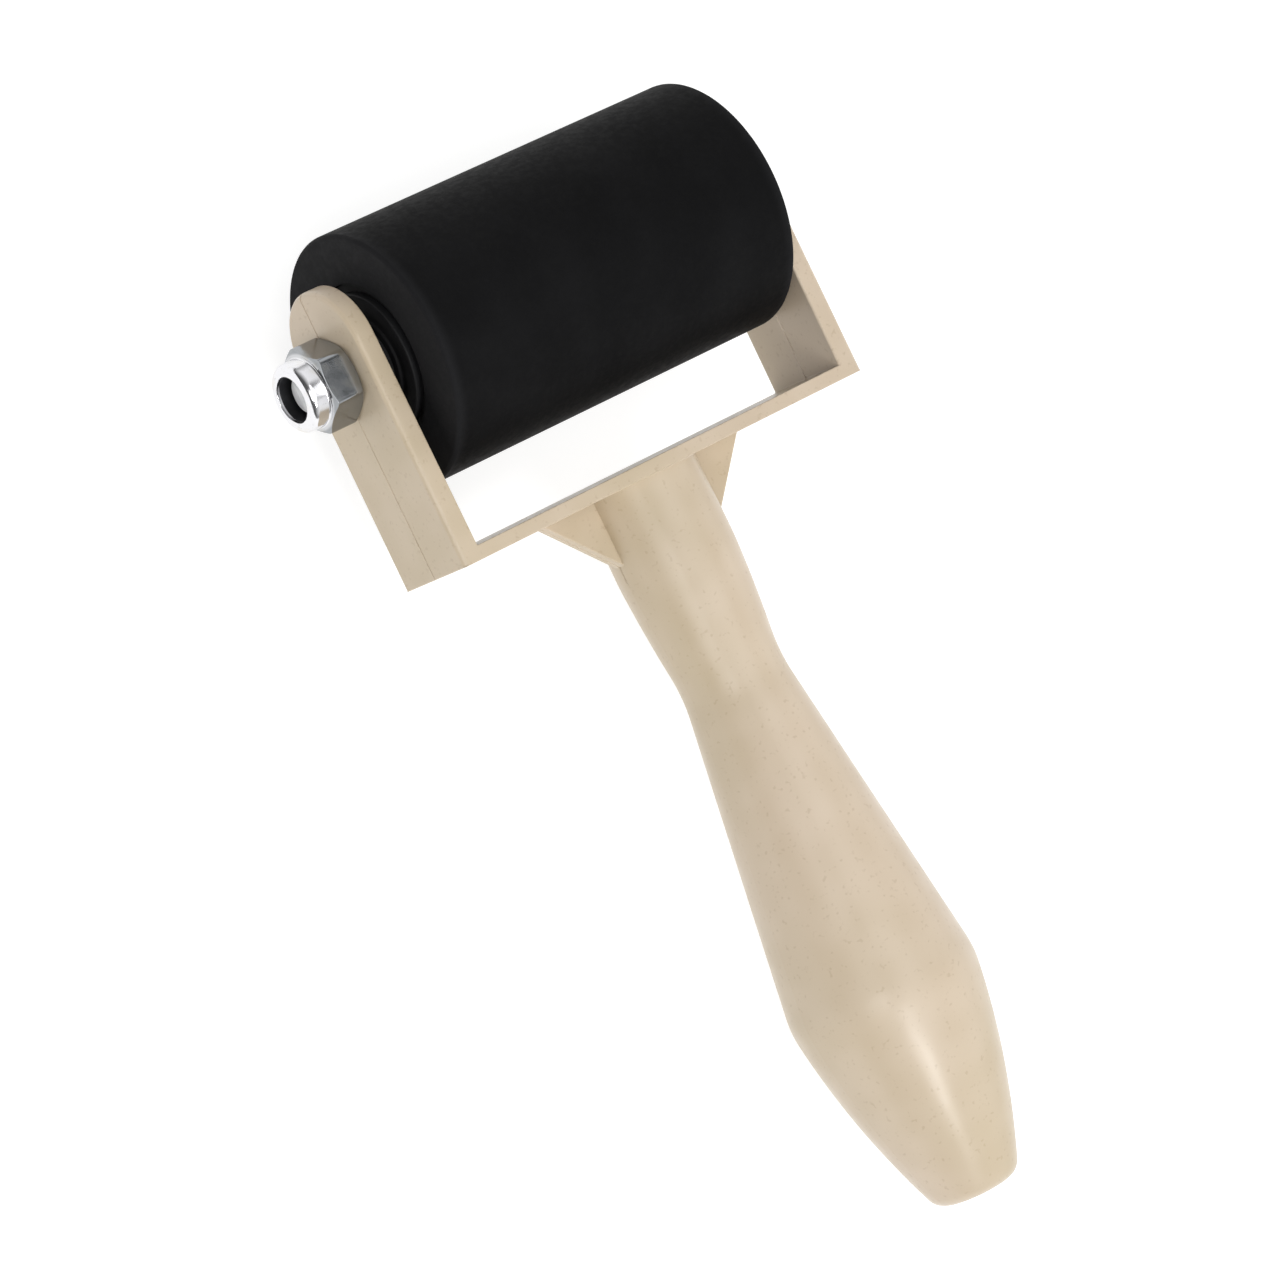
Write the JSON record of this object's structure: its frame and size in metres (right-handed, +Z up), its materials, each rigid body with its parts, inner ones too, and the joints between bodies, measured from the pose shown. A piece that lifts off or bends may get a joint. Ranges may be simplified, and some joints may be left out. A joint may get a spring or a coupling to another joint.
{
  "type": "rubber brayer",
  "caption": "Hand brayer: a rubber roller turning on a bolt in the yoke of a moulded plastic handle, for rolling out ink or pressing paper.",
  "frame": {"origin": "centre of the roller, on the axle's axis, midway between the arms", "axes": "+X along the axle from the nut to the bolt's head, +Y from the handle to the roller, +Z up when the brayer lies flat"},
  "size_m": [0.0831, 0.1582, 0.0368],
  "materials": {
    "handle_plastic": "semi-gloss moulded, warm beige",
    "roller_rubber": "matt black",
    "bolt_steel": "bright zinc plate",
    "nut_steel": "bright plate",
    "insert_nylon": "dark nylon",
    "core_plastic": "plain dark plastic",
    "plug_plastic": "plain dark acetal",
    "washer_plastic": "black nylon"
  },
  "bodies": {
    "frame": {"handle_frame": "handle_plastic", "axle_bolt": "bolt_steel", "lock_nut": "nut_steel", "lock_nut_insert": "insert_nylon", "thrust_washer_left": "washer_plastic", "thrust_washer_right": "washer_plastic"},
    "roller": {"rubber_sleeve": "roller_rubber", "roller_core": "core_plastic", "bearing_plug_left": "plug_plastic", "bearing_plug_right": "plug_plastic"}
  },
  "joints": [
    {"name": "roller_spin", "type": "hinge", "parent": "frame", "child": "roller", "pos_m": [0, 0, 0], "axis": [1, 0, 0], "continuous": true}
  ]
}
